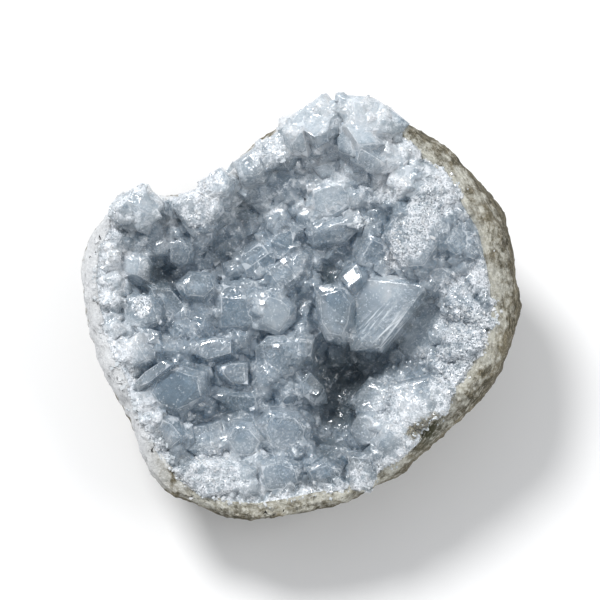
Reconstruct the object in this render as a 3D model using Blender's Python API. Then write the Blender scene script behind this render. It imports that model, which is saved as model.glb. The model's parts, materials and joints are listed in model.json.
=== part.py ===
"""A geode piece of celestite: a lumpy stone rind, and one crust of grown-together crystals in its hollow.

The nodule is laid out in face coordinates, in millimetres: u to the right, v up the open face, and w out of
the open face. The finished piece leans forward on its flat foot, so the face coordinates are turned about X
by FACE_LEAN_DEG and lifted by FACE_HEIGHT. The origin is the middle of the foot.
"""

import math
import random
from collections import namedtuple

import bmesh
import bpy
from mathutils import Matrix, Vector, noise

MM = 0.001

# How the piece stands
FACE_LEAN_DEG = 18.0
FACE_HEIGHT = 37.0
FOOT_SHIFT_V = -1.0

# The nodule
FLOOR_DEPTH = 42.0
FLOOR_THICKNESS = 9.0
WALL_THICKNESS = 3.4
RIM_THICKNESS = 1.3
CRYSTAL_GAP = 0.3
BED_GAP = 0.6
BOWL_SHAPE = 2.15
SEGMENTS = 46
BOWL_STEPS = (0.28, 0.52, 0.76, 1.0)
BROW_STEPS = (1.5, 2.0)
LUMP_SIZE = 14.0
LUMP_HEIGHT = 2.6
PIT_SIZE = 5.5
PIT_DEPTH = 1.1
RIM_WAVE = 1.2

# The nodule's outline all round: direction in degrees from +u, then the widest radius, how far the broken
# rim stands inside it, how high the rim is, and how far below the rim the wall is widest
Edge = namedtuple("Edge", "angle radius inset height brow")
EDGES = (
    Edge(0, 44.4, 5.0, 0.0, 9.0),
    Edge(15, 45.2, 5.6, 0.6, 10.0),
    Edge(30, 45.8, 5.8, 1.0, 10.0),
    Edge(45, 44.3, 4.6, 1.0, 9.0),
    Edge(60, 43.0, 2.6, 0.8, 7.0),
    Edge(72, 43.4, 1.4, 0.2, 5.0),
    Edge(82, 41.6, 1.0, -1.0, 4.0),
    Edge(92, 37.6, 0.8, -2.4, 4.0),
    Edge(104, 33.4, 0.8, -3.4, 4.0),
    Edge(118, 31.0, 0.8, -4.4, 4.0),
    Edge(130, 30.8, 0.8, -4.4, 4.0),
    Edge(139, 34.0, 0.8, -3.6, 4.0),
    Edge(147, 41.0, 1.0, -2.6, 4.0),
    Edge(156, 44.8, 1.0, -1.8, 4.0),
    Edge(168, 45.2, 1.0, -1.0, 4.0),
    Edge(181, 43.4, 1.0, -0.4, 4.0),
    Edge(195, 41.4, 1.0, 0.0, 4.0),
    Edge(210, 41.2, 1.0, 0.0, 4.0),
    Edge(225, 43.8, 1.2, 0.0, 4.0),
    Edge(238, 45.4, 1.2, 0.0, 4.0),
    Edge(252, 44.4, 1.0, 0.0, 4.0),
    Edge(272, 40.8, 1.0, 0.0, 4.0),
    Edge(290, 39.8, 1.2, 0.0, 4.0),
    Edge(305, 38.4, 2.4, 0.2, 5.0),
    Edge(322, 39.5, 4.0, 0.0, 7.0),
    Edge(341, 42.0, 4.6, 0.0, 8.0),
)

# The floor of the hollow before crystals: one broad dish, then what sinks (minus) or swells (plus) in it
DISH_DEPTH = 7.5
DISH_STEPS = (0.92, 0.74, 0.54, 0.36, 0.18)
Swell = namedtuple("Swell", "u v reach height")
SWELLS = (
    Swell(9.0, -13.5, 6.0, -13.0),
    Swell(6.6, -23.0, 4.0, -11.0),
    Swell(21.0, -9.0, 8.0, -5.0),
    Swell(-28.0, 6.5, 4.5, -8.0),
    Swell(-11.5, 20.5, 5.0, -8.0),
    Swell(6.4, 7.4, 3.0, -5.5),
    Swell(24.0, 12.0, 7.5, 5.5),
    Swell(19.0, -21.5, 6.5, 6.5),
    Swell(-20.5, 17.5, 4.5, 4.0),
    Swell(12.0, 4.0, 4.0, 2.5),
    Swell(-14.0, -33.0, 8.0, 2.5),
    Swell(12.0, 36.0, 8.0, 2.0),
)

# The crystals that stand out, each with the outline of its face as u, v points. The face's middle stands
# rise above the floor of the hollow. The face leans by lean degrees towards the direction towards, from +u
Faced = namedtuple("Faced", "name rise lean towards outline")
FACED = (
    # the wedge over the deep cleft: a clear end, and a long slab with a sharp edge towards the right wall
    Faced("wedge_end", 6.4, 9, 235,
          ((2.6, 4.2), (8.2, 5), (11, 1.6), (11, -4.4), (9, -8), (5.2, -7), (3.4, -3.4))),
    Faced("wedge_slab", 6.2, 11, 150,
          ((8.2, 4.2), (12.8, 7.4), (28, 5.8), (19.4, -3.4), (16.2, -8.8), (10, -8.6))),
    # upper right: broad smooth faces with ledges between them
    Faced("upper_face", 2.6, 12, 250,
          ((1, 24), (5, 26), (10.8, 26), (12.6, 22), (10, 18.8), (5.6, 17.6), (1.4, 19))),
    Faced("white_ledge", 3.2, 26, 265,
          ((0.8, 15), (6, 17), (12.2, 18.2), (12.8, 15.6), (9, 12.4), (2.4, 12))),
    Faced("round_eye", 2.4, 8, 230,
          ((11.2, 16.4), (12.8, 18.8), (16, 19), (18, 17), (17, 14), (14, 13.2))),
    Faced("sugar_shelf", 2.4, 12, 225,
          ((16, 14), (19, 20), (25, 21), (29, 17), (28, 11.6), (25, 7.6), (21, 6))),
    Faced("pale_face", 2.4, 8, 60,
          ((10.4, 35), (17, 36), (24, 34.6), (25.6, 31.6), (23, 28.6), (17, 27), (11, 28))),
    Faced("recessed_face", 0.9, 14, 290,
          ((0, 33.6), (10, 34), (10.4, 28.6), (4, 27.4), (0.4, 28.4))),
    Faced("right_face", 1.5, 12, 30,
          ((28, 18.8), (32.4, 20), (35.6, 16), (35.2, 11.6), (31, 10), (28, 12.8))),
    Faced("right_wall", 1.8, 20, 185,
          ((19.6, -3.6), (24.4, 2.6), (31, 2), (30, -5.2), (26, -10.4), (19, -12.8))),
    # the middle
    Faced("round_middle", 5.0, 10, 320,
          ((-9.8, 2.2), (-7, 3.6), (-3, 2.8), (-0.4, 0.2), (-0.6, -3), (-4, -6), (-8.8, -4))),
    Faced("streaked", 4.8, 20, 330,
          ((-0.4, -14.4), (2, -12.6), (5.6, -16), (6, -19.6), (3.2, -20.6), (0.4, -18))),
    # lower left, round the blue block
    Faced("blue_block", 5.2, 8, 205,
          ((-32.4, -17), (-29, -13.2), (-26, -11), (-19, -13), (-18.8, -18), (-24, -22), (-29, -20.6))),
    Faced("blue_twin", 4.4, 20, 150,
          ((-34, -15.4), (-31.4, -12.6), (-27, -10), (-25, -11), (-30, -15), (-32.8, -16.6))),
    Faced("tablet", 4.6, 14, 120,
          ((-22.8, -8.6), (-21.2, -6), (-17, -5.2), (-13.4, -6.2), (-13.4, -9.2), (-18.8, -10.6))),
    Faced("square", 4.4, 10, 30,
          ((-17, -11.6), (-14, -10.4), (-10.2, -10.6), (-10, -15.8), (-13.6, -15.6), (-16, -14))),
    Faced("dark_face", 2.6, 22, 265,
          ((-18.6, -17.6), (-16, -17), (-7.4, -17.4), (-7, -20.8), (-9.2, -22), (-14.4, -21.4))),
    Faced("glittering", 3.2, 10, 160,
          ((-36.6, 1), (-34, 3.2), (-30, 2.6), (-27.8, 0), (-28, -3), (-31.4, -4.8), (-36, -3.6))),
    Faced("smooth_dark", 2.6, 20, 320,
          ((-30.6, 4.4), (-26.4, 5), (-24.4, 2.2), (-21.8, -1), (-24, -3.8), (-28.4, -2.8))),
    Faced("sugared", 4.2, 12, 90,
          ((-25.4, 5), (-22.4, 8), (-17.2, 7.4), (-16.4, 4), (-19, 1.4), (-23.6, 2))),
    # upper left, hanging over the dark pocket
    Faced("white_bulge", 4.6, 10, 250,
          ((-25.6, 20), (-24, 22.4), (-20, 23.4), (-15.8, 22.6), (-15.2, 19), (-18, 15.6), (-23, 15.6))),
    Faced("edge_crystal", 5.6, 12, 110,
          ((-20.8, 26), (-19, 28.4), (-15.6, 28.4), (-13.2, 25.6), (-14.4, 22.6), (-19, 22))),
    Faced("upper_hanging", 4.0, 26, 275,
          ((-22.4, 16.4), (-16.8, 16.4), (-17, 13), (-20.2, 11), (-22, 13))),
    Faced("lower_hanging", 4.8, 28, 255,
          ((-26.8, 12.4), (-24.4, 14), (-21, 12), (-21.8, 8.6), (-24.6, 7), (-26.6, 9))),
    # the top ridge, broken through massive crystal
    Faced("ridge_west", 4.0, 16, 125,
          ((-13.8, 29.6), (-8, 33.6), (-5.6, 29.4), (-7.6, 25.6), (-12, 25.4))),
    Faced("ridge_middle", 3.4, 14, 120,
          ((-8.4, 33.2), (-1, 38.2), (0.6, 33.4), (-2.6, 28.4), (-6.8, 28.4))),
    Faced("ridge_top", 2.4, 14, 100,
          ((-3, 37), (5.2, 42.6), (8.6, 43), (9, 36), (4, 33.4), (-1, 33.6))),
    Faced("ridge_east", 2.0, 12, 70,
          ((7.4, 43), (14.8, 42.4), (19.2, 39.8), (22, 37), (19.6, 34.4), (10, 33.6))),
    # the lower band
    Faced("lower_west", 3.2, 12, 220,
          ((-31.2, -24), (-28.4, -21.2), (-24.6, -22.2), (-22.6, -26), (-24.8, -29), (-29.4, -28.8))),
    Faced("lower_clear", 3.6, 12, 250,
          ((-15.6, -26.4), (-13.6, -23), (-9.6, -23.2), (-7, -26.8), (-8.8, -31), (-13.6, -30.6))),
    Faced("lower_pale", 4.4, 10, 290,
          ((-8.6, -23.4), (-6, -20.8), (-0.4, -21), (2.4, -24), (1.8, -29), (-2.4, -30.8), (-7, -29))),
    Faced("white_foot", 3.0, 10, 265,
          ((-25.6, -32.4), (-20.8, -30.4), (-14, -30.6), (-8.6, -32.4), (-9.2, -36.6), (-20, -39))),
    Faced("grey_foot", 2.6, 12, 280,
          ((-8.8, -31), (-4, -30.2), (0.6, -31.2), (1.4, -35.2), (-2.8, -38.4), (-8.2, -37.8))),
    Faced("clear_foot", 2.4, 16, 300,
          ((1.2, -32.2), (5.2, -30.2), (9, -32.2), (8.6, -36.6), (3.2, -38.4))),
    Faced("pale_slab", 3.2, 14, 200,
          ((9.2, -29.2), (14.4, -28.6), (15.4, -32.4), (13.8, -37), (9.6, -37))),
    # the jagged pale mass at the lower right, its tip over the cleft
    Faced("jagged_tip", 5.2, 24, 150,
          ((8, -19.6), (11, -17), (13.6, -13.6), (17.8, -15.2), (19.2, -18.8), (15, -22))),
    Faced("pale_mass", 3.0, 12, 130,
          ((17.4, -15), (25.6, -13), (30.4, -16), (29.4, -20.4), (24, -24), (18, -24))),
    Faced("clear_side", 4.4, 18, 190,
          ((9.4, -24.4), (11.2, -21), (14.4, -20.6), (16.6, -23.4), (15, -27.4), (11.4, -28.2))),
    Faced("pale_corner", 2.4, 12, 290,
          ((14.6, -27), (17, -23), (22.4, -24), (25, -26.4), (20, -31), (15.6, -32.6))),
)
FACE_SHARES = (0.6, 0.9)
CHAMFER_DEPTH = 1.5
CHAMFER_RANGE = (0.6, 1.3)
FLAT_WITHIN_DEG = 1.0

# The plainer crystals between them, each a block with its middle at u, v; turn spins it about its axis
Block = namedtuple("Block", "u v wide long rise turn lean towards")
BLOCKS = (
    Block(26.6, 25.5, 9.0, 7.0, 2.2, 40, 16, 50),
    Block(10.4, 6.8, 5.6, 4.6, 5.0, 22, 20, 120),
    Block(15.4, 10.6, 8.5, 6.4, 2.6, -6, 22, 250),
    Block(26.4, 7.4, 9.0, 6.4, 1.2, -20, 10, 250),
    Block(34.0, 3.4, 7.4, 6.0, 1.2, -10, 12, 350),
    Block(33.4, -8.0, 7.0, 6.4, 1.4, 25, 12, 330),
    Block(-13.2, 0.0, 8.4, 7.6, 3.4, -20, 14, 200),
    Block(-3.8, 7.6, 7.4, 6.2, 4.2, 35, 14, 90),
    Block(-0.2, 9.4, 5.2, 4.8, 3.0, 25, 16, 40),
    Block(-3.2, 14.0, 7.0, 6.6, 3.4, 10, 16, 60),
    Block(-3.4, 20.6, 6.8, 6.2, 2.6, 32, 18, 100),
    Block(-9.4, 10.6, 6.4, 5.8, 3.6, -15, 18, 140),
    Block(-4.6, -10.4, 7.2, 7.6, 4.0, 15, 12, 260),
    Block(1.2, -8.6, 5.4, 5.0, 5.0, 12, 24, 340),
    Block(-33.2, -9.4, 5.6, 7.0, 2.8, 12, 16, 200),
    Block(-27.6, -7.4, 6.2, 5.6, 3.0, 28, 16, 60),
    Block(-33.8, 8.4, 6.0, 5.6, 2.8, 0, 16, 170),
    Block(-29.0, 13.8, 5.0, 5.0, 3.0, 24, 20, 120),
    Block(-11.4, 20.4, 6.6, 6.2, 2.4, 40, 10, 300),
    Block(-35.6, 20.4, 5.2, 4.8, 3.8, 18, 14, 130),
    Block(-30.8, 20.8, 5.0, 4.8, 3.6, 45, 12, 90),
    Block(-3.6, 26.0, 6.4, 6.0, 3.0, 12, 14, 130),
    Block(-19.8, -25.8, 6.8, 5.6, 3.0, -12, 18, 110),
)
STEPPED_FROM = 8.0
CROWDING = 1.22
ROOT_DEPTH = 3.0
TWIN_SIZE = (0.7, 0.8)
TWIN_ASIDE = 0.3
TWIN_DROP = (0.15, 0.35)

# The small crystals that fill the floor between the blocks
SEED = 7
FILL_TRIES = 9000
FILL_SMALLEST = 4.2
FILL_LARGEST = 6.6
FILL_RISE = 0.5
FILL_TILT_DEG = 26.0
FILL_ROOM = 0.74
FILL_OVERLAP = 0.74
FILL_SQUARENESS = (0.75, 1.0)
FILL_ROOT = 0.6
FILL_RISES = (0.6, 1.2)
EDGE_ROOM = 0.96

# Crystal habit: the slopes of the end faces, and the corner angle of the prism that trims the block
DOME_SLOPE_DEG = 50.0
PRISM_HALF_ANGLE_DEG = 38.0
FLAT_TOP = (0.3, 0.8)
WEDGE_TOP = (0.05, 0.5)
SLOPE_RANGE = (0.7, 1.15)
CORNER_RANGE = (0.68, 0.88)

PALE_BLUE = (0.60, 0.69, 0.78, 1.0)
CHALK_GREY = (0.56, 0.54, 0.46, 1.0)


def clear_scene():
    for found in list(bpy.data.objects):
        bpy.data.objects.remove(found)


def new_collection(name):
    made = bpy.data.collections.new(name)
    bpy.context.scene.collection.children.link(made)
    return made


def finish_of(name, colour, roughness):
    made = bpy.data.materials.new(name)
    made.use_nodes = True
    shader = made.node_tree.nodes["Principled BSDF"]
    shader.inputs["Base Color"].default_value = colour
    shader.inputs["Roughness"].default_value = roughness
    shader.inputs["Metallic"].default_value = 0.0
    return made


def face_to_rest():
    """The matrix from face coordinates in millimetres to the standing piece in metres."""
    lift = Matrix.Translation((0.0, FOOT_SHIFT_V * MM, FACE_HEIGHT * MM))
    return lift @ Matrix.Rotation(math.radians(FACE_LEAN_DEG), 4, "X") @ Matrix.Scale(MM, 4)


def edge_at(angle, value):
    """One column of EDGES at any angle in degrees, on a smooth closed curve through its rows."""
    count = len(EDGES)
    angle %= 360.0
    after = next((i for i, edge in enumerate(EDGES) if edge.angle > angle), count)
    rows = [EDGES[i % count] for i in range(after - 2, after + 2)]
    turns = [(i // count) * 360.0 for i in range(after - 2, after + 2)]
    angles = [row.angle + turn for row, turn in zip(rows, turns)]
    heights = [getattr(row, value) for row in rows]
    span = angles[2] - angles[1]
    t = (angle - angles[1]) / span
    leave = (heights[2] - heights[0]) / (angles[2] - angles[0]) * span
    arrive = (heights[3] - heights[1]) / (angles[3] - angles[1]) * span
    return (
        (2 * t**3 - 3 * t**2 + 1) * heights[1]
        + (t**3 - 2 * t**2 + t) * leave
        + (3 * t**2 - 2 * t**3) * heights[2]
        + (t**3 - t**2) * arrive
    )


def rim_height(angle):
    """The height of the broken rim, which is never quite level."""
    turn = math.radians(angle)
    wave = noise.noise(Vector((3.0 * math.cos(turn), 3.0 * math.sin(turn), 1.5)))
    return edge_at(angle, "height") + RIM_WAVE * wave


def wall_point(angle, step, gap=None):
    """A point of the nodule's wall. step runs 0 at the bottom, 1 at the widest, 2 at the rim.

    With no gap it lies on the outside. With one it lies that far inside the rind, thinner at its rim.
    """
    turn = math.radians(angle)
    top = rim_height(angle)
    widest = top - edge_at(angle, "brow")
    inside = gap is not None
    if step <= 1.0:
        bend = step * math.pi / 2
        radius = edge_at(angle, "radius") - (WALL_THICKNESS + gap if inside else 0.0)
        out = radius * math.sin(bend) ** (2 / BOWL_SHAPE)
        depth = FLOOR_DEPTH + widest - (FLOOR_THICKNESS + gap if inside else 0.0)
        w = widest - depth * max(math.cos(bend), 0.0) ** (2 / BOWL_SHAPE)
    else:
        bend = (step - 1.0) * math.pi / 2
        thickness = WALL_THICKNESS + (RIM_THICKNESS - WALL_THICKNESS) * (step - 1.0)
        radius = edge_at(angle, "radius") - (thickness + gap if inside else 0.0)
        out = radius - edge_at(angle, "inset") * (1 - math.cos(bend))
        w = widest + (top - widest) * math.sin(bend)
    return Vector((out * math.cos(turn), out * math.sin(turn), w))


def lumpy(point):
    """The point moved in or out, as the nodule's outside swells and pits."""
    away = (point - Vector((0, 0, -FLOOR_DEPTH / 3))).normalized()
    lump = LUMP_HEIGHT * noise.noise(point / LUMP_SIZE)
    pit = PIT_DEPTH * noise.noise(point / PIT_SIZE + Vector((7, 7, 7)))
    return point + away * (lump + pit)


def bed_radius(angle):
    """How far out the crystals' bed reaches at the rim."""
    return edge_at(angle, "radius") - edge_at(angle, "inset") - RIM_THICKNESS - BED_GAP


def floor_height(u, v):
    """The height of the hollow's floor under the crystals."""
    angle = math.degrees(math.atan2(v, u))
    share = min(math.hypot(u, v) / bed_radius(angle), 1.0)
    w = rim_height(angle) * share**2 - DISH_DEPTH * (1 - share**4)
    for swell in SWELLS:
        away = math.hypot(u - swell.u, v - swell.v) / swell.reach
        w += swell.height * math.exp(-away * away) * (1 - share**8)
    return w


def lowest_floor(u, v, reach):
    """The lowest the floor gets at this distance from a point, on four sides."""
    sides = ((reach, 0), (-reach, 0), (0, reach), (0, -reach))
    return min(floor_height(u + du, v + dv) for du, dv in sides)


def floor_normal(u, v):
    step = 1.5
    slope_u = (floor_height(u + step, v) - floor_height(u - step, v)) / (2 * step)
    slope_v = (floor_height(u, v + step) - floor_height(u, v - step)) / (2 * step)
    return Vector((-slope_u, -slope_v, 1.0)).normalized()


def ring(make_point):
    """One closed row of points round the nodule."""
    return [make_point(360.0 * i / SEGMENTS) for i in range(SEGMENTS)]


def loft(name, start, rings, end, collection):
    """A closed solid between two poles through unlike rings, built from face coordinates."""
    body = bmesh.new()
    rows = [[body.verts.new(point) for point in row] for row in rings]
    first, last = body.verts.new(start), body.verts.new(end)
    for i in range(SEGMENTS):
        j = (i + 1) % SEGMENTS
        body.faces.new((first, rows[0][j], rows[0][i]))
        body.faces.new((last, rows[-1][i], rows[-1][j]))
        for low, high in zip(rows, rows[1:]):
            body.faces.new((low[i], low[j], high[j], high[i]))
    bmesh.ops.recalc_face_normals(body, faces=body.faces)
    body.transform(face_to_rest())
    return as_object(body, name, collection)


def as_object(body, name, collection):
    mesh = bpy.data.meshes.new(name)
    body.to_mesh(mesh)
    body.free()
    made = bpy.data.objects.new(name, mesh)
    collection.objects.link(made)
    return made


def as_helper(made):
    made.hide_render = True
    made.display_type = "WIRE"
    return made


def cut_with(made, operation, name, **operand):
    """Adds a Boolean with an object or a collection."""
    modifier = made.modifiers.new(name, "BOOLEAN")
    modifier.operation = operation
    modifier.solver = "EXACT"
    modifier.operand_type = "COLLECTION" if "collection" in operand else "OBJECT"
    for key, value in operand.items():
        setattr(modifier, key, value)


def make_rind(collection):
    """The stone shell: out and up its lumpy outside, over the rim, and down its plain inside."""
    outside = BOWL_STEPS + BROW_STEPS
    fine = [(a + b) / 2 for a, b in zip((0.0,) + outside, outside)]
    steps = sorted(outside + tuple(fine))
    rings = [ring(lambda a, s=s: lumpy(wall_point(a, s))) for s in steps]
    rings += [ring(lambda a, s=s: wall_point(a, s, 0.0)) for s in reversed(outside)]
    bottom = lumpy(Vector((0, 0, -FLOOR_DEPTH)))
    inside = Vector((0, 0, -FLOOR_DEPTH + FLOOR_THICKNESS))
    return loft("stone_rind", bottom, rings, inside, collection)


def make_crust_bed(collection):
    """The solid mass the crystals grow from: the rind's inside less a gap, closed by the hollow's floor."""
    rings = [ring(lambda a, s=s: wall_point(a, s, BED_GAP)) for s in BOWL_STEPS + BROW_STEPS]

    def floor_ring(share):
        def point(angle):
            turn = math.radians(angle)
            out = bed_radius(angle) * share
            u, v = out * math.cos(turn), out * math.sin(turn)
            return Vector((u, v, floor_height(u, v)))

        return ring(point)

    rings += [floor_ring(share) for share in DISH_STEPS]
    bottom = Vector((0, 0, -FLOOR_DEPTH + FLOOR_THICKNESS + BED_GAP))
    return loft("crystal_crust", bottom, rings, Vector((0, 0, floor_height(0, 0))), collection)


def make_room(collection):
    """A helper solid: all the room inside the rind and above its rim, which the crust may fill."""
    lip, ceiling = 1.5, 16.0
    steps = BOWL_STEPS + BROW_STEPS
    rings = [ring(lambda a, s=s: wall_point(a, s, CRYSTAL_GAP)) for s in steps]

    def over_rim(angle, out, up):
        turn = math.radians(angle)
        radius = edge_at(angle, "radius") + out
        return Vector((radius * math.cos(turn), radius * math.sin(turn), rim_height(angle) + up))

    def inner_rim(angle):
        return wall_point(angle, 2.0, CRYSTAL_GAP) + Vector((0, 0, CRYSTAL_GAP * 2))

    rings.append(ring(inner_rim))
    rings.append(ring(lambda a: over_rim(a, lip, CRYSTAL_GAP * 2)))
    rings.append(ring(lambda a: over_rim(a, lip, ceiling)))
    bottom = Vector((0, 0, -FLOOR_DEPTH + FLOOR_THICKNESS + CRYSTAL_GAP))
    return as_helper(loft("room_in_rind", bottom, rings, Vector((0, 0, ceiling)), collection))


def make_foot_cutter(collection):
    """A helper block whose top is the surface the piece stands on."""
    side = 200.0 * MM
    body = bmesh.new()
    bmesh.ops.create_cube(body, size=side)
    bmesh.ops.translate(body, verts=body.verts, vec=(0, 0, -side / 2))
    return as_helper(as_object(body, "foot_cutter", collection))


def slice_off(body, point, normal):
    """Cuts a convex body by a plane and closes the cut."""
    parts = body.verts[:] + body.edges[:] + body.faces[:]
    cut = bmesh.ops.bisect_plane(
        body, geom=parts, dist=1e-6, plane_co=point, plane_no=normal, clear_outer=True
    )
    edges = [part for part in cut["geom_cut"] if isinstance(part, bmesh.types.BMEdge)]
    if len(edges) > 2:
        bmesh.ops.contextual_create(body, geom=edges)


def crystal_body(wide, long, deep, trimmed, rng):
    """One crystal, its top at the origin: a block with sloped end faces, and corners if trimmed.

    An untrimmed crystal ends in a wedge or a point, because its end faces meet.
    """
    body = bmesh.new()
    bmesh.ops.create_cube(body, size=1.0)
    bmesh.ops.scale(body, verts=body.verts, vec=(wide, long, deep))
    bmesh.ops.translate(body, verts=body.verts, vec=(0, 0, -deep / 2))
    slope = math.radians(DOME_SLOPE_DEG)
    for side, half in ((Vector((1, 0, 0)), wide / 2), (Vector((0, 1, 0)), long / 2)):
        for sign in (1, -1):
            start = side * sign * half * rng.uniform(*(FLAT_TOP if trimmed else WEDGE_TOP))
            tip = slope * rng.uniform(*SLOPE_RANGE)
            slice_off(body, start, side * sign * math.sin(tip) + Vector((0, 0, math.cos(tip))))
    prism = math.radians(PRISM_HALF_ANGLE_DEG)
    for sign_u in (1, -1) if trimmed else ():
        for sign_v in (1, -1):
            normal = Vector((sign_u * math.sin(prism), sign_v * math.cos(prism), 0))
            corner = Vector((sign_u * wide / 2, sign_v * long / 2, 0))
            slice_off(body, corner * rng.uniform(*CORNER_RANGE), normal)
    bmesh.ops.recalc_face_normals(body, faces=body.faces)
    return body


def place_crystal(spot, size, axis, turn, rng, collection, trimmed=True):
    """Puts a crystal with its top at spot, standing along axis, in face coordinates."""
    wide, long, deep = size
    body = crystal_body(wide, long, deep, trimmed, rng)
    upright = axis.to_track_quat("Z", "Y").to_matrix().to_4x4()
    turned = Matrix.Rotation(math.radians(turn), 4, "Z")
    body.transform(face_to_rest() @ Matrix.Translation(spot) @ upright @ turned)
    as_helper(as_object(body, f"crystal_{len(collection.objects):03d}", collection))


def axis_of(crystal):
    """The direction that a listed crystal stands in."""
    lean, towards = math.radians(crystal.lean), math.radians(crystal.towards)
    flat = math.sin(lean)
    return Vector((flat * math.cos(towards), flat * math.sin(towards), math.cos(lean)))


def grow_faced(rng, collection):
    """The crystals with outlines: a flat face, chamfers round it, and sides that run down into the bed."""
    for faced in FACED:
        count = len(faced.outline)
        middle = sum((Vector(point) for point in faced.outline), Vector((0, 0))) / count
        top = floor_height(*middle) + faced.rise
        axis = axis_of(faced)
        points = []
        for point in faced.outline:
            away = Vector(point) - middle
            slope = -(axis.x * away.x + axis.y * away.y) / axis.z
            corner = Vector((point[0], point[1], top + slope))
            centre = Vector((middle.x, middle.y, top))
            points.append(centre.lerp(corner, rng.uniform(*FACE_SHARES)))
            points.append(corner - axis * CHAMFER_DEPTH * rng.uniform(*CHAMFER_RANGE))
            points.append(corner - axis * (corner.z - floor_height(*point) + ROOT_DEPTH))
        body = bmesh.new()
        for point in points:
            body.verts.new(point)
        hull = bmesh.ops.convex_hull(body, input=body.verts)
        bmesh.ops.delete(body, geom=hull["geom_interior"], context="VERTS")
        flat = math.radians(FLAT_WITHIN_DEG)
        bmesh.ops.dissolve_limit(body, angle_limit=flat, verts=body.verts, edges=body.edges)
        bmesh.ops.recalc_face_normals(body, faces=body.faces)
        body.transform(face_to_rest())
        as_helper(as_object(body, faced.name, collection))


def grow_blocks(rng, collection):
    """The plainer crystals. The widest are stepped: a lower twin grows parallel beside them."""
    for block in BLOCKS:
        axis = axis_of(block)
        top = Vector((block.u, block.v, floor_height(block.u, block.v) + block.rise))
        wide, long = block.wide * CROWDING, block.long * CROWDING
        deep = top.z - lowest_floor(block.u, block.v, wide / 2) + ROOT_DEPTH
        place_crystal(top, (wide, long, deep), axis, block.turn, rng, collection)
        if block.wide >= STEPPED_FROM:
            turn = math.radians(block.turn + rng.choice((0, 90, 180, 270)))
            aside = Vector((math.cos(turn), math.sin(turn), 0)) * wide * TWIN_ASIDE
            spot = top + aside - axis * block.rise * rng.uniform(*TWIN_DROP)
            size = (wide * TWIN_SIZE[0], long * TWIN_SIZE[1], deep)
            place_crystal(spot, size, axis, block.turn, rng, collection, trimmed=False)


def grow_fill(rng, collection):
    """Small crystals, scattered where no larger one stands, square to the floor give or take a tilt."""
    taken = [(block.u, block.v, (block.wide + block.long) / 4) for block in BLOCKS]
    for faced in FACED:
        middle = sum((Vector(point) for point in faced.outline), Vector((0, 0))) / len(faced.outline)
        reach = sum((Vector(point) - middle).length for point in faced.outline) / len(faced.outline)
        taken.append((middle.x, middle.y, reach))
    for _ in range(FILL_TRIES):
        angle = rng.uniform(0, 360)
        share = math.sqrt(rng.random())
        out = share * bed_radius(angle) * EDGE_ROOM
        u, v = out * math.cos(math.radians(angle)), out * math.sin(math.radians(angle))
        width = FILL_LARGEST - (FILL_LARGEST - FILL_SMALLEST) * share**3
        reach = width / 2 * FILL_ROOM
        if any(math.hypot(u - a, v - b) < r * FILL_OVERLAP + reach for a, b, r in taken):
            continue
        taken.append((u, v, width / 2))
        tilt = Matrix.Rotation(math.radians(rng.uniform(0, FILL_TILT_DEG)), 3, "X")
        swing = Matrix.Rotation(rng.uniform(0, 2 * math.pi), 3, "Z")
        upright = floor_normal(u, v).to_track_quat("Z", "Y").to_matrix()
        axis = upright @ swing @ tilt @ Vector((0, 0, 1))
        rise = width * FILL_RISE * rng.uniform(*FILL_RISES)
        spot = Vector((u, v, floor_height(u, v))) + axis * rise
        length = width * rng.uniform(*FILL_SQUARENESS)
        size = (width, length, rise + width * FILL_ROOT)
        place_crystal(spot, size, axis, rng.uniform(0, 180), rng, collection, trimmed=False)


def main():
    clear_scene()
    rng = random.Random(SEED)
    piece = new_collection("celestite_geode")
    cutters = new_collection("cutters")
    crystals = new_collection("crystals")
    foot = make_foot_cutter(cutters)
    room = make_room(cutters)
    grow_faced(rng, crystals)
    grow_blocks(rng, crystals)
    grow_fill(rng, crystals)

    rind = make_rind(piece)
    cut_with(rind, "DIFFERENCE", "flat_foot", object=foot)
    rind.data.materials.append(finish_of("weathered_stone", CHALK_GREY, 0.9))

    crust = make_crust_bed(piece)
    cut_with(crust, "UNION", "grown_together", collection=crystals)
    cut_with(crust, "INTERSECT", "inside_the_rind", object=room)
    crust.data.materials.append(finish_of("celestite", PALE_BLUE, 0.15))


main()
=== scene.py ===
"""The looks of a celestite geode piece: a weathered stone rind round a hollow full of pale blue crystals."""

import json
import math
import random

import bmesh
import bpy
import numpy as np
from mathutils import Matrix, Vector, bvhtree, kdtree
from mathutils.geometry import intersect_point_line

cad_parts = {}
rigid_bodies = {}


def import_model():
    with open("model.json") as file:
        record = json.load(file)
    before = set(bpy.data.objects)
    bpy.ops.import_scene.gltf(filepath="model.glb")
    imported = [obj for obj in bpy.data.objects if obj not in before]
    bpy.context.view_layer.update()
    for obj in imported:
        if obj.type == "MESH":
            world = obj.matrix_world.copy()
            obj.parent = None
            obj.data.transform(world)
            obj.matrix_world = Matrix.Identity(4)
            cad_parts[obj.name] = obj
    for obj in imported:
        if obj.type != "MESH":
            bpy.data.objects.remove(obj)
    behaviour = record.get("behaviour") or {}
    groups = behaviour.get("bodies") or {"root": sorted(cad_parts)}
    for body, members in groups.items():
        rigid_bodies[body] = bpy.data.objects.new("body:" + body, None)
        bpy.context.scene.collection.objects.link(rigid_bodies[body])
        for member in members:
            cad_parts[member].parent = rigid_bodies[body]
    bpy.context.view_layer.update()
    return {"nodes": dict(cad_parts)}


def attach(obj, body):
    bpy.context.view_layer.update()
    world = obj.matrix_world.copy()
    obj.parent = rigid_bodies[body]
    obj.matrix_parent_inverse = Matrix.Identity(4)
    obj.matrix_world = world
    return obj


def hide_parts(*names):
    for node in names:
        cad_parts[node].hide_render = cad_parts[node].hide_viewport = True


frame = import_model()

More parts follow.
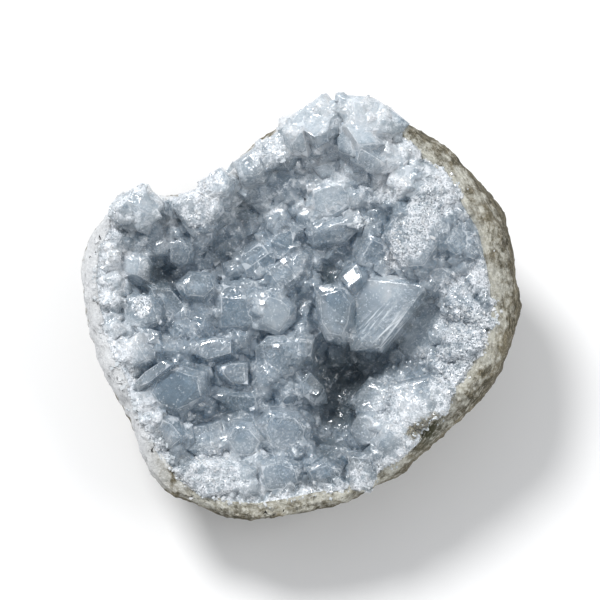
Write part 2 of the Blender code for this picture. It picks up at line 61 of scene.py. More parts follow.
# The stone rind. A shell of grey-green limestone some 3 mm thick: its outside is weathered, lumpy and
# speckled, and its rim is freshly broken and chalky. It is one piece, and the hollow's crystals have grown
# fast to it.
MM = 0.001
RIND_SMOOTHING = 3
RIND_LUMP_SIZE = 8.0 * MM
RIND_LUMP_HEIGHT = 0.7 * MM
RIND_PIT_SIZE = 3.2 * MM
RIND_PIT_DEPTH = 0.6 * MM
RIND_GRAIN_SIZE = 1.5 * MM
RIND_GRAIN_HEIGHT = 0.5 * MM
FLAT_WITHIN = math.radians(0.5)

# The open face leans forward by FACE_LEAN about a middle that stands above the foot. In face coordinates u
# is to the right, v up the face and w out of it, in millimetres.
FACE_LEAN = math.radians(18.0)
FACE_MIDDLE = Vector((0.0, -1.0, 37.0)) * MM
FACE = Matrix.Translation(FACE_MIDDLE) @ Matrix.Rotation(FACE_LEAN, 4, "X") @ Matrix.Scale(MM, 4)
# The one stain on the rim: its middle, in face coordinates, how far it is full and where it ends
STAIN_PLACE = (24.2, -23.8, -1.0)
STAIN_FULL = 2.4 * MM
STAIN_END = 5.6 * MM
# The stone's specks are laid out round the rim as if it had this small radius, which draws them out along it
BEDDING_RADIUS = 14.0 * MM


def in_scene(name, data):
    """A new object in the scene, of a mesh, a light or a camera."""
    made = bpy.data.objects.new(name, data)
    bpy.context.scene.collection.objects.link(made)
    return made


def merged_copy(cad_name, name):
    """A copy of a CAD node's mesh as a new piece, its loose triangles merged into flat faces."""
    merge_within = 2e-6
    body = bmesh.new()
    body.from_mesh(frame["nodes"][cad_name].data)
    bmesh.ops.remove_doubles(body, verts=body.verts, dist=merge_within)
    bmesh.ops.dissolve_limit(body, angle_limit=FLAT_WITHIN, verts=body.verts, edges=body.edges)
    mesh = bpy.data.meshes.new(name)
    body.to_mesh(mesh)
    body.free()
    mesh.materials.clear()
    return in_scene(name, mesh)


def new_tree(name, **inputs):
    """An empty Geometry Nodes tree with a Geometry input and output and the named inputs at their values."""
    tree = bpy.data.node_groups.new(name, "GeometryNodeTree")
    tree.interface.new_socket("Geometry", in_out="INPUT", socket_type="NodeSocketGeometry")
    tree.interface.new_socket("Geometry", in_out="OUTPUT", socket_type="NodeSocketGeometry")
    kinds = {float: "NodeSocketFloat", int: "NodeSocketInt"}
    for title, value in inputs.items():
        kind = kinds.get(type(value), "NodeSocketMaterial")
        socket = tree.interface.new_socket(title, in_out="INPUT", socket_type=kind)
        socket.default_value = value
    tree.nodes.new("NodeGroupInput").name = "in"
    tree.nodes.new("NodeGroupOutput").name = "out"
    return tree


def node(tree, kind, links=(), **settings):
    """A new node of any tree. links gives a socket or a value for each input, by its name or place."""
    made = tree.nodes.new(kind)
    for key, value in settings.items():
        setattr(made, key, value)
    for key, value in dict(links).items():
        if isinstance(value, bpy.types.NodeSocket):
            tree.links.new(value, made.inputs[key])
        else:
            made.inputs[key].default_value = value
    return made


def grow(piece, tree, **values):
    """Runs a Geometry Nodes tree on a piece and leaves its result as a plain mesh."""
    modifier = piece.modifiers.new(tree.name, "NODES")
    modifier.node_group = tree
    sockets = {item.name: item.identifier for item in tree.interface.items_tree if item.in_out == "INPUT"}
    for title, value in values.items():
        modifier[sockets[title]] = value
    graph = bpy.context.evaluated_depsgraph_get()
    plain = bpy.data.meshes.new_from_object(piece.evaluated_get(graph), depsgraph=graph)
    piece.modifiers.clear()
    piece.data = plain
    return piece


def noise_at(tree, size, detail, roughness, place, distortion=0.0):
    """A noise field of a feature size in metres, about 0.5 in the middle."""
    links = {
        "Vector": place,
        "Scale": 1.0 / size,
        "Detail": detail,
        "Roughness": roughness,
        "Distortion": distortion,
    }
    return node(tree, "ShaderNodeTexNoise", links).outputs[0]


def maths(tree, operation, *values):
    """What a sum gives, from sockets and numbers."""
    return node(tree, "ShaderNodeMath", enumerate(values), operation=operation).outputs[0]


def times(tree, first, second):
    """One number times another."""
    return maths(tree, "MULTIPLY", first, second)


def vector_maths(tree, operation, first, second):
    """What a sum with vectors gives: a number for a distance or a dot product, and else a vector."""
    second_input = "Scale" if operation == "SCALE" else 1
    made = node(tree, "ShaderNodeVectorMath", {0: first, second_input: second}, operation=operation)
    return made.outputs["Value" if operation in ("DISTANCE", "DOT_PRODUCT") else "Vector"]


def swayed(tree, value, noise, amount):
    """A value moved up and down by a noise, by up to half the amount."""
    return maths(tree, "MULTIPLY_ADD", maths(tree, "SUBTRACT", noise, 0.5), amount, value)


def with_material(tree, mesh):
    """Gives a tree's result its material and leads it out."""
    links = {"Geometry": mesh, "Material": tree.nodes["in"].outputs["Material"]}
    finished = node(tree, "GeometryNodeSetMaterial", links)
    tree.links.new(finished.outputs[0], tree.nodes["out"].inputs["Geometry"])
    return tree


def weathering():
    """Rounds a coarse stone mesh and gives it lumps, pits and grains, down to its flat foot."""
    tree = new_tree(
        "weathering",
        Smoothing=2,
        LumpSize=1.0,
        LumpHeight=0.0,
        PitSize=1.0,
        PitDepth=0.0,
        GrainSize=1.0,
        GrainHeight=0.0,
        Material=None,
    )
    given = tree.nodes["in"].outputs
    links = {"Mesh": given["Geometry"], "Level": given["Smoothing"]}
    smooth = node(tree, "GeometryNodeSubdivisionSurface", links)
    shift = None
    for size, height in (("LumpSize", "LumpHeight"), ("PitSize", "PitDepth"), ("GrainSize", "GrainHeight")):
        scale = maths(tree, "DIVIDE", 1.0, given[size])
        noise = node(tree, "ShaderNodeTexNoise", {"Scale": scale, "Detail": 2.0, "Roughness": 0.5})
        swing = maths(tree, "SUBTRACT", noise.outputs[0], 0.5)
        swing = times(tree, swing, given[height])
        shift = swing if shift is None else maths(tree, "ADD", shift, swing)
    shift = times(tree, shift, 2.0)
    normal = node(tree, "GeometryNodeInputNormal").outputs[0]
    links = {"Geometry": smooth.outputs[0], "Offset": vector_maths(tree, "SCALE", normal, shift)}
    moved = node(tree, "GeometryNodeSetPosition", links)
    # Nothing goes below the foot, and a metre to the side is no limit
    place = node(tree, "GeometryNodeInputPosition").outputs[0]
    above_floor = vector_maths(tree, "MAXIMUM", place, (-1.0, -1.0, 0.0))
    stood = node(tree, "GeometryNodeSetPosition", {"Geometry": moved.outputs[0], "Position": above_floor})
    shaded = node(tree, "GeometryNodeSetShadeSmooth", {"Geometry": stood.outputs[0]})
    return with_material(tree, shaded.outputs[0])


def new_finish(name):
    """A material with a bare Principled node, and its tree."""
    made = bpy.data.materials.new(name)
    made.use_nodes = True
    return made, made.node_tree, made.node_tree.nodes["Principled BSDF"]


def blend_of(tree, share, first, second):
    """A colour between two, by a share from 0 to 1."""
    made = node(tree, "ShaderNodeMix", data_type="RGBA")
    for socket, value in ((made.inputs[0], share), (made.inputs[6], first), (made.inputs[7], second)):
        if isinstance(value, bpy.types.NodeSocket):
            tree.links.new(value, socket)
        else:
            socket.default_value = value
    return made.outputs[2]


def between(tree, value, low, high, to_low=0.0, to_high=1.0):
    """The value moved from the range low to high onto another, and held at its ends."""
    links = {"Value": value, "From Min": low, "From Max": high, "To Min": to_low, "To Max": to_high}
    return node(tree, "ShaderNodeMapRange", links).outputs[0]


def attribute(tree, title):
    """A number that the mesh carries, in a material."""
    return node(tree, "ShaderNodeAttribute", attribute_name=title).outputs["Fac"]


def bumped(tree, shader, height, strength, distance, normal=None):
    """Leads a height through a bump node to the shader, over the given normal or the surface's own."""
    links = {"Strength": strength, "Distance": distance, "Height": height}
    if normal is not None:
        links["Normal"] = normal
    tree.links.new(node(tree, "ShaderNodeBump", links).outputs[0], shader.inputs["Normal"])


def limestone():
    """Grey-brown with dark specks drawn out round the rim, and chalky where it meets the crystals."""
    made, tree, shader = new_finish("weathered_limestone")
    place = node(tree, "ShaderNodeTexCoord").outputs["Object"]
    # The place moved and turned so that its Z is the height over the open face
    links = {"Vector": place, "Location": tuple(-FACE_MIDDLE)}
    moved = node(tree, "ShaderNodeMapping", links, vector_type="POINT").outputs[0]
    links = {"Vector": moved, "Rotation": (-FACE_LEAN, 0.0, 0.0)}
    level = node(tree, "ShaderNodeMapping", links, vector_type="POINT").outputs[0]
    across, up, height = node(tree, "ShaderNodeSeparateXYZ", {0: level}).outputs
    # The place drawn out round the rim, as the stone's bedding is
    turn = times(tree, maths(tree, "ARCTAN2", up, across), BEDDING_RADIUS)
    square = maths(tree, "MULTIPLY_ADD", across, across, times(tree, up, up))
    links = {"X": turn, "Y": maths(tree, "SQRT", square), "Z": height}
    bedded = node(tree, "ShaderNodeCombineXYZ", links).outputs[0]

    blotch = between(tree, noise_at(tree, 6.0 * MM, 4.0, 0.6, bedded), 0.38, 0.62)
    colour = blend_of(tree, blotch, (0.12, 0.105, 0.068, 1), (0.235, 0.205, 0.135, 1))
    chalk = noise_at(tree, 2.2 * MM, 5.0, 0.65, place)
    colour = blend_of(tree, between(tree, chalk, 0.5, 0.66, 0.0, 0.4), colour, (0.44, 0.40, 0.31, 1))
    grain = noise_at(tree, 0.45 * MM, 3.0, 0.75, place)
    colour = blend_of(tree, between(tree, grain, 0.5, 0.62, 0.0, 0.45), colour, (0.60, 0.55, 0.45, 1))

    # Chalk by the crystals, in a broader band on the left and upper left. It is whiter there and duller beige
    # towards the lower right: partly the chalk's own colour, partly painted light on the side the key light
    # comes from and painted shade at the lower right
    rise = maths(tree, "MAXIMUM", times(tree, up, 0.53), times(tree, up, 0.1))
    side = maths(tree, "MULTIPLY_ADD", across, -0.85, rise)
    left = between(tree, side, 14.0 * MM, 24.0 * MM)
    ragged = swayed(tree, height, chalk, 12.0 * MM)
    ragged = maths(tree, "SUBTRACT", ragged, between(tree, left, 0.0, 1.0, 2.4 * MM, -3.5 * MM))
    most = between(tree, left, 0.0, 1.0, 0.5, 0.9)
    rim = times(tree, between(tree, ragged, -1.6 * MM, 0.4 * MM), most)
    near = swayed(tree, attribute(tree, "coat"), chalk, 1.6)
    rim = maths(tree, "MAXIMUM", rim, between(tree, near, 0.52, 0.86, 0.0, 0.95))
    # Painted light and shade: the chalk is whiter on the upper left and duller at the lower right
    chalky = blend_of(tree, left, (0.60, 0.59, 0.51, 1), (0.78, 0.80, 0.82, 1))
    pale = blend_of(tree, left, (0.88, 0.88, 0.83, 1), (0.95, 0.965, 0.98, 1))
    chalky = blend_of(tree, between(tree, grain, 0.48, 0.6, 0.0, 0.6), chalky, pale)
    colour = blend_of(tree, rim, colour, chalky)

    # Dark specks, crowded in some places and few in the chalk and on the clean rim at the left
    specks = noise_at(tree, 0.7 * MM, 4.0, 0.75, bedded)
    patches = noise_at(tree, 4.0 * MM, 2.0, 0.5, bedded)
    crowding = between(tree, patches, 0.36, 0.54, 0.4, 1.0)
    dark = times(tree, between(tree, specks, 0.46, 0.53), crowding)
    dark = times(tree, dark, between(tree, rim, 0.0, 0.9, 1.0, 0.35))
    clean = times(tree, left, between(tree, height, -14.0 * MM, -4.0 * MM))
    dark = times(tree, dark, between(tree, clean, 0.0, 1.0, 1.0, 0.22))
    dark = times(tree, dark, 0.85)
    colour = blend_of(tree, dark, colour, (0.055, 0.05, 0.03, 1))

    # One dark green stain at the lower right of the rim
    away = vector_maths(tree, "DISTANCE", place, tuple(FACE @ Vector(STAIN_PLACE)))
    stain = between(tree, away, STAIN_FULL, STAIN_END, 1.0, 0.0)
    stain = times(tree, stain, between(tree, specks, 0.38, 0.5))
    colour = blend_of(tree, stain, colour, (0.06, 0.06, 0.03, 1))
    tree.links.new(colour, shader.inputs["Base Color"])
    shader.inputs["Roughness"].default_value = 0.88
    bumped(tree, shader, noise_at(tree, 0.6 * MM, 5.0, 0.75, place), 0.9, 0.5 * MM)
    return made


rind = merged_copy("stone_rind", "rind")
rind_stone = limestone()
grow(
    rind,
    weathering(),
    Smoothing=RIND_SMOOTHING,
    LumpSize=RIND_LUMP_SIZE,
    LumpHeight=RIND_LUMP_HEIGHT,
    PitSize=RIND_PIT_SIZE,
    PitDepth=RIND_PIT_DEPTH,
    GrainSize=RIND_GRAIN_SIZE,
    GrainHeight=RIND_GRAIN_HEIGHT,
    Material=rind_stone,
)
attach(rind, "root")
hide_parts("stone_rind")

# The crystal crust. Celestite grown together into one mass: clear grey-blue blocks up to 20 mm across, with
# smaller ones nested in the joints between them. It is clear enough to see into, and tinted where it is
# thick.
NEST_SEED = 11
NEST_SPACING = 1.7
NEST_APART = 0.8 * NEST_SPACING
NEST_WIDTHS = (1.3, 3.4)
NEST_TILT = math.radians(34.0)
# A nested crystal's length, height, root and rise as shares of its width, and its ridge as one of its length
NEST_LENGTHS = (0.8, 1.5)
NEST_HEIGHTS = (0.25, 0.5)
NEST_RIDGES = (0.1, 0.7)
NEST_ROOT = 1.5
NEST_RISES = (0.25, 0.6)
# Crystals nest in joints that fold by this angle or more and face this far up, and keep out of calm places
NEST_FOLD = 0.25
NEST_UP = 0.15
CALM_MOST = 0.6
CROWDED_SPACING = 2.3
CROWDED_RISE = 0.35
CROWDED_SWELL = 0.7
CROWDED_UP = 0.2
CROWDED_LEAST = 0.3
RIM_SECTORS = 72
RIM_OVERHANG = 0.4
CRUST_EDGE = 1.5 * MM
CRUST_SHARP = math.radians(24.0)
SMOOTH_FACE_AREA = 9.0 * MM * MM
TONE_SEED = 3
GAP_MOST = 3.0 * MM
NEAREST_EDGES = 5
# The coat along the rim, how wide it is in millimetres, and how much it thins above which height
RIM_COAT = 1.2
RIM_COAT_WIDTH = 3.4
COAT_THINS_BY = 0.75
COAT_THINS_FROM = 24.0
COAT_THINS_OVER = 6.0
# How far below the open face the hollow's side reaches at its rim, and how much further in the middle. What
# faces the viewer by less than OPEN_FACING is the back, and what makes the rim faces by RIM_FACING or more.
HOLLOW_AT_RIM = 4.5
HOLLOW_INSIDE = 24.0
OPEN_FACING = -0.2
RIM_FACING = 0.25
# The crystals' clearness, and the coat's grains
CRUST_CLEAR = 0.72
CELESTITE_IOR = 1.62
CELESTITE_TINT = (0.36, 0.58, 0.76, 1)
CELESTITE_DENSITY = 70.0
COAT_GRAIN = 0.27 * MM
COAT_PLATE = 0.9 * MM

# The facets that mirror the light stand MIRROR_PROUD clear of what is beneath them, on a foot MIRROR_FOOT
# times as wide. Each has its middle's u and v, its width and length, and its turn in degrees.
MIRROR_PROUD = 0.15
MIRROR_FOOT = 1.15
MIRROR_FROM = 40.0
MIRROR_WAY = Vector((-0.21, 0.36, 0.91)).normalized()
MIRROR_FACETS = (
    (10.6, 6.3, 4.4, 2.8, 10.0),
    (8.6, -2.8, 1.6, 1.2, 30.0),
    (-7.5, 1.0, 0.9, 0.9, 60.0),
    (-3.2, 9.4, 1.1, 0.9, 15.0),
    (-16.6, 9.2, 1.9, 0.9, 5.0),
    (-11.7, -10.3, 1.1, 1.4, -20.0),
    (-4.7, -7.8, 1.5, 0.7, -25.0),
    (3.0, -17.4, 1.9, 0.8, -50.0),
    (-15.3, 5.8, 0.7, 1.3, -15.0),
    (-1.2, 24.7, 1.1, 0.6, 40.0),
    (0.8, 30.5, 0.7, 1.0, -20.0),
    (12.2, 17.4, 1.6, 1.4, 0.0),
    (-28.0, -3.0, 1.0, 0.8, 20.0),
    (-9.5, -20.5, 1.2, 0.8, -10.0),
)
# Where small crystals crowd the broad faces, and where a crystal stands calm and whole: the middle's u and v,
# how far that reaches, and how much of it there is
CROWDED_PATCHES = (
    (3.0, 35.5, 6.0, 1.0),
    (10.0, 36.0, 6.0, 1.0),
    (15.5, 34.0, 5.0, 1.0),
    (9.0, 27.0, 6.0, 1.0),
    (16.0, 22.5, 6.0, 1.0),
    (-9.0, 20.0, 6.0, 1.0),
    (-34.0, 21.0, 5.0, 1.0),
)
CALM_PATCHES = (
    (-4.6, -1.6, 5.5, 1.0),
    (6.2, -1.5, 5.0, 1.0),
    (-25.5, -16.0, 6.5, 1.0),
    (14.0, 2.5, 5.0, 1.0),
    (11.0, -2.0, 5.0, 1.0),
)
# Where the crystals are coated white: the middle's u and v, how far the coat reaches, and how thick it lies
WHITE_PATCHES = (
    (22.0, 14.0, 5.0, 1.0),
    (25.0, 19.5, 4.5, 1.0),
    (19.3, 10.0, 2.8, 1.0),
    (33.0, -3.5, 6.5, 0.9),
    (37.0, 6.0, 5.0, 0.8),
    (29.0, -16.0, 4.5, 0.8),
    (31.0, 4.0, 5.0, 0.6),
    (30.5, -11.0, 5.0, 0.8),
    (25.0, -9.5, 3.0, 0.6),
    (28.0, 22.5, 6.0, 0.8),
    (28.0, 27.5, 4.5, 0.9),
    (22.5, 32.0, 4.0, 0.8),
    (18.0, 24.0, 4.0, 0.8),
    (-38.5, 11.0, 5.0, 0.8),
    (-18.5, 22.5, 3.2, 1.0),
    (-31.8, 0.4, 2.6, 1.0),
    (12.2, 17.4, 2.0, 1.0),
    (-39.0, 2.0, 4.5, 0.7),
    (-35.5, -9.0, 4.5, 0.6),
    (-30.5, -21.0, 4.5, 0.7),
    (-20.5, 19.5, 5.0, 0.7),
    (20.0, -20.0, 8.0, 0.6),
    (-17.5, -34.5, 8.5, 0.8),
    (12.0, -33.0, 4.0, 0.6),
    (-7.0, 32.0, 6.0, 0.6),
    (3.0, 38.5, 5.0, 0.45),
    (-16.5, 25.0, 3.5, 0.6),
)
# Where the coat glitters most, in the same way
GLITTER_PATCHES = (
    (-31.8, 0.4, 3.2, 1.0),
    (12.2, 17.4, 2.4, 1.0),
    (22.0, 14.0, 6.0, 0.8),
    (25.0, 19.5, 5.5, 0.8),
    (33.0, -3.5, 8.0, 1.0),
    (30.5, -11.0, 6.0, 0.9),
    (20.0, -20.0, 8.0, 0.6),
    (-17.5, -34.5, 8.5, 0.3),
)
# Where shade is painted into the crystals' colour, in the deep cleft, pockets, recesses and the crevice
# beside the wedge, in the same way
PAINTED_SHADE_PATCHES = (
    (9.0, -14.0, 6.5, 0.9),
    (8.0, -21.0, 4.5, 0.9),
    (6.0, -28.0, 3.0, 0.6),
    (-28.5, 6.5, 3.6, 0.8),
    (6.3, 6.8, 2.4, 1.0),
    (17.0, -10.0, 4.0, 0.35),
    (10.5, -1.4, 3.6, 0.35),
    (-11.0, 19.5, 3.0, 0.25),
    (25.3, 2.2, 1.5, 0.7),
    (23.6, -0.8, 1.5, 0.7),
    (21.9, -3.8, 1.5, 0.7),
    (20.1, -6.8, 1.5, 0.7),
    (18.4, -9.4, 1.5, 0.7),
    (-15.5, 11.5, 3.0, 0.4),
    (-14.0, -19.5, 3.5, 0.4),
)
# Where the crystals are milky, and partly where light is painted on them, brightening the upper face, the
# wedge's top and shaded grooves and recesses, in the same way
MILKY_AND_PAINTED_LIGHT_PATCHES = (
    (1.0, 39.0, 9.0, 1.0),
    (13.0, 37.5, 7.5, 1.0),
    (6.0, 24.0, 7.5, 0.7),
    (-4.6, -1.6, 5.5, 0.5),
    (6.2, -1.5, 4.5, 0.3),
    (14.0, 0.0, 5.0, 0.15),
    (-31.0, 20.0, 7.0, 0.55),
    (-14.0, 24.0, 7.0, 0.6),
    (24.0, -4.0, 6.0, 0.5),
    (17.5, 4.5, 4.5, 0.6),
    (19.0, 27.0, 5.5, 0.9),
    (-7.0, 21.0, 4.0, 0.5),
    (-38.0, 8.0, 7.0, 0.9),
    (-36.5, -6.0, 6.0, 0.9),
    (-32.0, -20.0, 5.0, 0.8),
    (-12.0, -32.0, 9.0, 0.5),
    (20.0, -22.0, 8.0, 0.6),
)
# Where the crust thins out and stained stone shows, in the same way
STONY_PATCHES = ((22.4, -24.8, 1.8, 0.9), (24.6, -23.6, 2.2, 1.0), (26.9, -22.0, 1.8, 0.9))
# The broad wedge by the middle is streaked along its lower edge
STREAKED_PATCHES = ((17.0, -4.5, 5.0, 1.0),)
STREAK_WAY = FACE.to_3x3().normalized() @ Vector((0.68, 0.73, 0.0))


def wedge_crystal(wide, long, high, ridge, root):
    """A block with a hipped end, in millimetres, along +Z and with its ridge's middle at the origin."""
    shoulder = -high
    corners = [(-1, -1), (1, -1), (1, 1), (-1, 1)]
    verts = [(x * wide / 2, y * long / 2, -root) for x, y in corners]
    verts += [(x * wide / 2, y * long / 2, shoulder) for x, y in corners]
    verts += [(0, -ridge * long / 2, 0), (0, ridge * long / 2, 0)]
    faces = [(3, 2, 1, 0), (0, 1, 5, 4), (1, 2, 6, 5), (2, 3, 7, 6), (3, 0, 4, 7)]
    faces += [(4, 5, 8), (6, 7, 9), (5, 6, 9, 8), (7, 4, 8, 9)]
    return verts, faces


def tilted(direction, rng, most):
    """A direction leaned over by up to an angle, to any side."""
    side = direction.orthogonal().normalized()
    side.rotate(Matrix.Rotation(rng.uniform(0, 2 * math.pi), 3, direction))
    return (direction + side * math.tan(rng.uniform(0, most))).normalized()


def shares_of(patches, u, v):
    """The share that each point has in a list of round patches, full to half their reach and soft beyond."""
    shares = np.zeros(len(u))
    for patch_u, patch_v, patch_reach, most in patches:
        away = np.hypot(u - patch_u, v - patch_v) / patch_reach
        shares = np.maximum(shares, most * np.clip(1.7 - 1.4 * away, 0, 1))
    return shares


def share_at(patches, place):
    """The share that one place has in a list of patches."""
    return shares_of(patches, np.array([place.x]), np.array([place.y]))[0]


def face_places(piece):
    """The u, v and w of a piece's vertices, in face coordinates."""
    places = np.empty(len(piece.data.vertices) * 3)
    piece.data.vertices.foreach_get("co", places)
    to_face = np.array(FACE.inverted())
    return (places.reshape(-1, 3) @ to_face[:3, :3].T + to_face[:3, 3]).T


def sectors(u, v):
    """The sector of the rim, counted round the open face, that each point is in."""
    return ((np.arctan2(v, u) / (2 * math.pi) + 0.5) * RIM_SECTORS).astype(int) % RIM_SECTORS


def nest_points(body, rng):
    """Points for small crystals, each with the way out of the stone there and how far they rise, from 0 to 1.

    They stand in the joints of the open side, save in the calm patches, and lie low on broad faces where the
    crystals are crowded.
    """
    found = []
    for edge in body.edges:
        if len(edge.link_faces) != 2 or edge.is_convex:
            continue
        out = (edge.link_faces[0].normal + edge.link_faces[1].normal).normalized()
        if out.z < NEST_UP or edge.calc_face_angle(0) < NEST_FOLD:
            continue
        first, last = (vert.co for vert in edge.verts)
        steps = max(int(edge.calc_length() / NEST_SPACING), 1)
        found += [(first.lerp(last, (i + rng.random()) / steps), out.copy(), 1.0) for i in range(steps)]
    found = [spot for spot in found if share_at(CALM_PATCHES, spot[0]) < CALM_MOST]
    for face in body.faces:
        if face.normal.z < CROWDED_UP:
            continue
        if share_at(CROWDED_PATCHES, face.calc_center_median()) < CROWDED_LEAST:
            continue
        for _ in range(int(face.calc_area() / CROWDED_SPACING**2)):
            weights = [-math.log(1.0 - rng.random()) for _ in face.verts]
            total = sum((vert.co * weight for vert, weight in zip(face.verts, weights)), Vector())
            found.append((total / sum(weights), face.normal.copy(), CROWDED_RISE))
    rng.shuffle(found)
    kept = []
    for spot in found:
        if all((spot[0] - other[0]).length > NEST_APART for other in kept):
            kept.append(spot)
    return kept


def mirror_crystals(body):
    """Blocks whose flat tops mirror the light, each standing on what is beneath its middle."""
    surface = bvhtree.BVHTree.FromBMesh(body)
    stand = MIRROR_WAY.to_track_quat("Z", "Y").to_matrix()
    made = []
    outline = ((-1, -1), (1, -1), (1, 1), (-0.6, 1.1))
    for u, v, wide, long, turn in MIRROR_FACETS:
        place, normal, _, _ = surface.ray_cast(Vector((u, v, MIRROR_FROM)), Vector((0, 0, -1)))
        lift = 0.5 * max(wide, long) * math.sin(normal.angle(MIRROR_WAY)) + MIRROR_PROUD
        top = place + MIRROR_WAY * lift
        turned = stand @ Matrix.Rotation(math.radians(turn), 3, "Z")
        corners = [Vector((x * wide / 2, y * long / 2, 0)) for x, y in outline]
        down = Vector((0, 0, -lift - wide))
        verts = [turned @ (corner * MIRROR_FOOT + down) + top for corner in corners]
        verts += [turned @ corner + top for corner in corners]
        faces = [(3, 2, 1, 0), (4, 5, 6, 7), (0, 1, 5, 4), (1, 2, 6, 5), (2, 3, 7, 6), (3, 0, 4, 7)]
        made.append((verts, faces))
    return made


def union_of(piece, crystals):
    """Grows the piece together with small closed crystals, given as verts and faces in face coordinates."""
    together = bpy.data.collections.new("nested_crystals")
    bpy.context.scene.collection.children.link(together)
    for verts, faces in crystals:
        mesh = bpy.data.meshes.new("nested_crystal")
        mesh.from_pydata(verts, [], faces)
        mesh.transform(FACE)
        together.objects.link(bpy.data.objects.new("nested_crystal", mesh))
    modifier = piece.modifiers.new("grown_together", "BOOLEAN")
    modifier.operation = "UNION"
    modifier.solver = "MANIFOLD"
    modifier.operand_type = "COLLECTION"
    modifier.collection = together
    graph = bpy.context.evaluated_depsgraph_get()
    plain = bpy.data.meshes.new_from_object(piece.evaluated_get(graph), depsgraph=graph)
    piece.modifiers.clear()
    piece.data = plain
    for made in list(together.objects):
        bpy.data.meshes.remove(made.data)
    bpy.data.collections.remove(together)


def nested_crystals(piece):
    """Small crystals for the nest points, leaned over and turned at random, and those that mirror the light.

    Those that would stand out over the rim are left out.
    """
    rng = random.Random(NEST_SEED)
    body = bmesh.new()
    body.from_mesh(piece.data)
    body.transform(FACE.inverted())
    body.normal_update()
    u, v, _ = np.array([vert.co for vert in body.verts]).T
    away = np.hypot(u, v)
    sector = sectors(u, v)
    rim = [away[sector == i].max(initial=0.0) for i in range(RIM_SECTORS)]
    rim = np.array([max(rim[i - 1], rim[i], rim[(i + 1) % RIM_SECTORS]) for i in range(RIM_SECTORS)])
    made = mirror_crystals(body)
    for point, out, rise in nest_points(body, rng):
        wide = rng.uniform(*NEST_WIDTHS) * (1 + CROWDED_SWELL * share_at(CROWDED_PATCHES, point))
        long = wide * rng.uniform(*NEST_LENGTHS)
        high = wide * rng.uniform(*NEST_HEIGHTS)
        verts, faces = wedge_crystal(wide, long, high, rng.uniform(*NEST_RIDGES), wide * NEST_ROOT)
        axis = tilted(out, rng, NEST_TILT)
        stand = axis.to_track_quat("Z", "Y").to_matrix() @ Matrix.Rotation(rng.uniform(0, math.pi), 3, "Z")
        top = point + axis * wide * rise * rng.uniform(*NEST_RISES)
        verts = [stand @ Vector(vert) + top for vert in verts]
        corner_u, corner_v, _ = np.array(verts).T
        over = np.hypot(corner_u, corner_v) - rim[sectors(corner_u, corner_v)]
        if over.max() < RIM_OVERHANG:
            made.append((verts, faces))
    body.free()
    return made


def refined(piece):
    """Splits long edges and keeps the crystals' edges sharp. Broad flat faces are marked smooth."""
    merge_within = 1e-6
    same_way = 0.9999
    most_rounds = 6
    body = bmesh.new()
    body.from_mesh(piece.data)
    bmesh.ops.remove_doubles(body, verts=body.verts, dist=merge_within)
    bmesh.ops.dissolve_limit(body, angle_limit=FLAT_WITHIN, verts=body.verts, edges=body.edges)
    smooth = body.faces.layers.float.new("smooth")
    tone = body.faces.layers.float.new("tone")
    rng = random.Random(TONE_SEED)
    mirror = FACE.to_3x3().normalized() @ MIRROR_WAY
    for face in body.faces:
        is_mirror = face.normal.dot(mirror) > same_way
        face[smooth] = 1.0 if is_mirror or face.calc_area() > SMOOTH_FACE_AREA else 0.0
        face[tone] = rng.random()
    bmesh.ops.triangulate(body, faces=body.faces)
    for _ in range(most_rounds):
        long_edges = [edge for edge in body.edges if edge.calc_length() > CRUST_EDGE]
        if not long_edges:
            break
        bmesh.ops.subdivide_edges(body, edges=long_edges, cuts=1, use_grid_fill=False)
        bmesh.ops.triangulate(body, faces=[face for face in body.faces if len(face.verts) > 3])
    body.to_mesh(piece.data)
    body.free()
    piece.data.shade_smooth()
    piece.data.set_sharp_from_angle(angle=CRUST_SHARP)
    piece.data.materials.clear()


def mark(piece, title, values):
    """Gives each vertex of a piece a number, which materials and what grows on the piece can read."""
    piece.data.attributes.new(title, "FLOAT", "POINT").data.foreach_set("value", values)


def rim_floor(out, rim):
    """How low a point of the hollow may lie: deep inside, but only just below the open face at the rim."""
    return -HOLLOW_AT_RIM - HOLLOW_INSIDE * np.clip(1.0 - out / rim, 0, 1) ** 0.5


def mark_patches(piece):
    """Marks how much of each kind of patch each vertex has, and tells the open side from the back."""
    u, v, w = face_places(piece)
    sector = sectors(u, v)
    out = np.hypot(u, v)
    normals = np.empty(len(u) * 3)
    piece.data.vertices.foreach_get("normal", normals)
    facing = normals.reshape(-1, 3) @ np.array(FACE.to_3x3().normalized())[:, 2]
    rim = np.array([out[(sector == i) & (facing > RIM_FACING)].max() for i in range(RIM_SECTORS)])[sector]
    patches = {
        # dark carries the painted shade of the deep places
        "dark": PAINTED_SHADE_PATCHES,
        "milk_and_painted_light": MILKY_AND_PAINTED_LIGHT_PATCHES,
        "streak": STREAKED_PATCHES,
        "calm": CALM_PATCHES,
        "glitter": GLITTER_PATCHES,
        "stony": STONY_PATCHES,
    }
    marks = {title: shares_of(places, u, v) for title, places in patches.items()}
    coat = np.clip(RIM_COAT - (rim - out) / RIM_COAT_WIDTH, 0, 1)
    coat *= 1 - COAT_THINS_BY * np.clip((v - COAT_THINS_FROM) / COAT_THINS_OVER, 0, 1)
    coat = np.maximum(coat, shares_of(WHITE_PATCHES, u, v))
    # The coat is left out where shade is painted
    marks["coat"] = coat * (1 - marks["dark"])
    marks["open"] = ((w > rim_floor(out, rim)) & (facing > OPEN_FACING)).astype(float)
    for title, values in marks.items():
        mark(piece, title, values)


